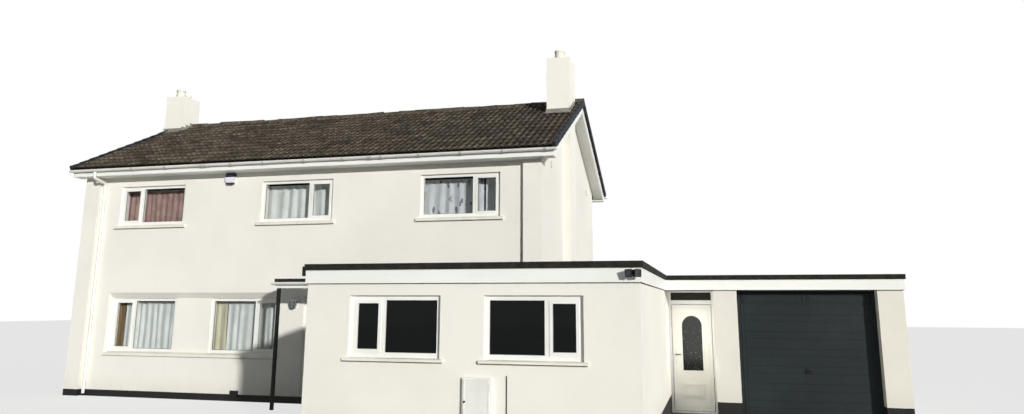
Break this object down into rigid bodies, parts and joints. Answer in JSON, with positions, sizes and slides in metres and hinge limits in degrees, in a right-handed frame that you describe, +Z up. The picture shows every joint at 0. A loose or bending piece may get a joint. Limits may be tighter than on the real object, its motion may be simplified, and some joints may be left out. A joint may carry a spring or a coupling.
{
  "type": "detached house",
  "caption": "Two-storey rendered detached house with a gabled tile roof, chimneys, a flat-roofed front wing, a porch canopy, a side door and an attached garage.",
  "frame": {"origin": "middle of the whole footprint at ground level", "axes": "+X along the front towards the garage, +Y from the front to the back, +Z up"},
  "size_m": [18.238, 12.79, 8.295],
  "materials": {
    "render": "painted render, matt",
    "tiles": "weathered concrete tile, matt",
    "white_trim": "white board, satin",
    "window_frame": "white plastic frame, satin",
    "glass": "clear",
    "sill": "painted concrete, matt",
    "felt": "black roofing felt, matt",
    "concrete": "concrete, matt",
    "clay": "weathered clay, matt",
    "gutter": "white plastic, satin",
    "black_metal": "black, satin",
    "grey_metal": "dark grey, satin",
    "door_panel": "white plastic, satin",
    "timber": "floor, matt"
  },
  "bodies": {
    "house": {"ground_floor": "concrete", "upper_floor": "timber", "front_wall": "render", "back_wall": "render", "left_gable_wall": "render", "right_gable_wall": "render", "left_chimney": "render", "right_chimney": "render", "chimney_pots": "clay", "roof_front": "tiles", "roof_back": "tiles", "ridge_tiles": "tiles", "eaves_boards": "white_trim", "verge_boards": "white_trim", "roof_gutters": "gutter", "downpipes": "gutter", "house_windows": "window_frame", "wing_windows": "window_frame", "back_windows": "window_frame", "front_glass": "glass", "back_glass": "glass", "sills": "sill", "band_sill": "sill", "front_door_frame": "window_frame", "front_door": "door_panel", "wing_front_wall": "render", "wing_left_wall": "render", "wing_right_wall": "render", "garage_left_wall": "render", "garage_right_wall": "render", "garage_back_wall": "render", "flat_roof_deck": "timber", "porch_deck": "white_trim", "roof_fascia": "white_trim", "porch_fascia": "white_trim", "roof_felt": "felt", "porch_felt": "felt", "porch_gutter": "gutter", "porch_post": "black_metal", "side_door_frame": "window_frame", "fanlight_glass": "glass", "garage_frame": "grey_metal", "meter_box": "window_frame", "alarm_box": "window_frame", "wall_lantern": "black_metal", "floodlight": "black_metal"},
    "side_door_leaf": {"side_door": "door_panel", "side_door_glass": "glass", "side_door_handle": "black_metal"},
    "garage_leaf": {"garage_door": "grey_metal", "garage_handle": "black_metal"}
  },
  "joints": [
    {"name": "side_door_hinge", "type": "hinge", "parent": "house", "child": "side_door_leaf", "pos_m": [5.825, -0.219, 1], "axis": [0, 0, -1], "range_deg": [0, 90]},
    {"name": "garage_door_hinge", "type": "hinge", "parent": "house", "child": "garage_leaf", "pos_m": [7.473, -1.135, 2.2545], "axis": [1, 0, 0], "range_deg": [0, 85]}
  ]
}
